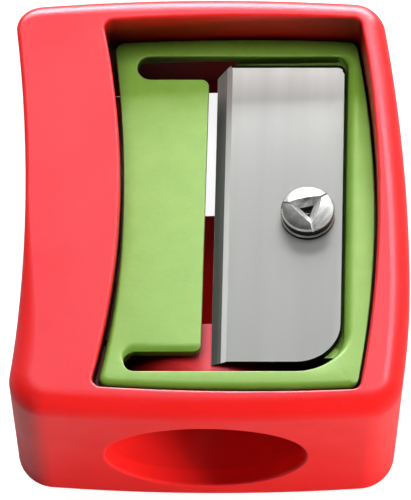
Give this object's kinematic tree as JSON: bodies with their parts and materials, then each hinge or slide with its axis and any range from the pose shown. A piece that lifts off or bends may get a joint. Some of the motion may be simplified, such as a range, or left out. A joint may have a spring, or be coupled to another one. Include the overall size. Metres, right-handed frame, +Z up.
{
  "type": "pencil sharpener",
  "caption": "Hand pencil sharpener for thick pencils: wedge-topped moulded housing, round guide, set-in blade holder, clamped blade and screw.",
  "frame": {"origin": "middle of the housing's footprint, on the plane it stands on", "axes": "+Z up from the foot, +Y from the front wall with the pencil's mouth to the back wall, +X to the side that holds the blade"},
  "size_m": [0.0318, 0.0364, 0.0215],
  "materials": {
    "housing": "satin moulded plastic, bright red",
    "blade_holder": "fine-grained moulded plastic, fresh green",
    "blade": "ground steel with a honed bevel",
    "blade_screw": "bright plated steel"
  },
  "bodies": {
    "base": {"housing": "housing", "blade_holder": "blade_holder"},
    "blade": {"blade": "blade"},
    "screw": {"blade_screw": "blade_screw"}
  },
  "joints": [
    {"name": "blade_lift", "type": "slide", "parent": "base", "child": "blade", "axis": [-0.0331, 0.2255, 0.9737], "range_m": [0, 0.004]},
    {"name": "screw_turn", "type": "hinge", "parent": "blade", "child": "screw", "pos_m": [0.00785, -0.00005, 0.01709], "axis": [-0.0331, 0.2255, 0.9737], "range_deg": [0, 1440]}
  ],
  "couplings": [
    {"joint": "screw_turn", "follows": "blade_lift", "rad_per_m": 6283}
  ]
}
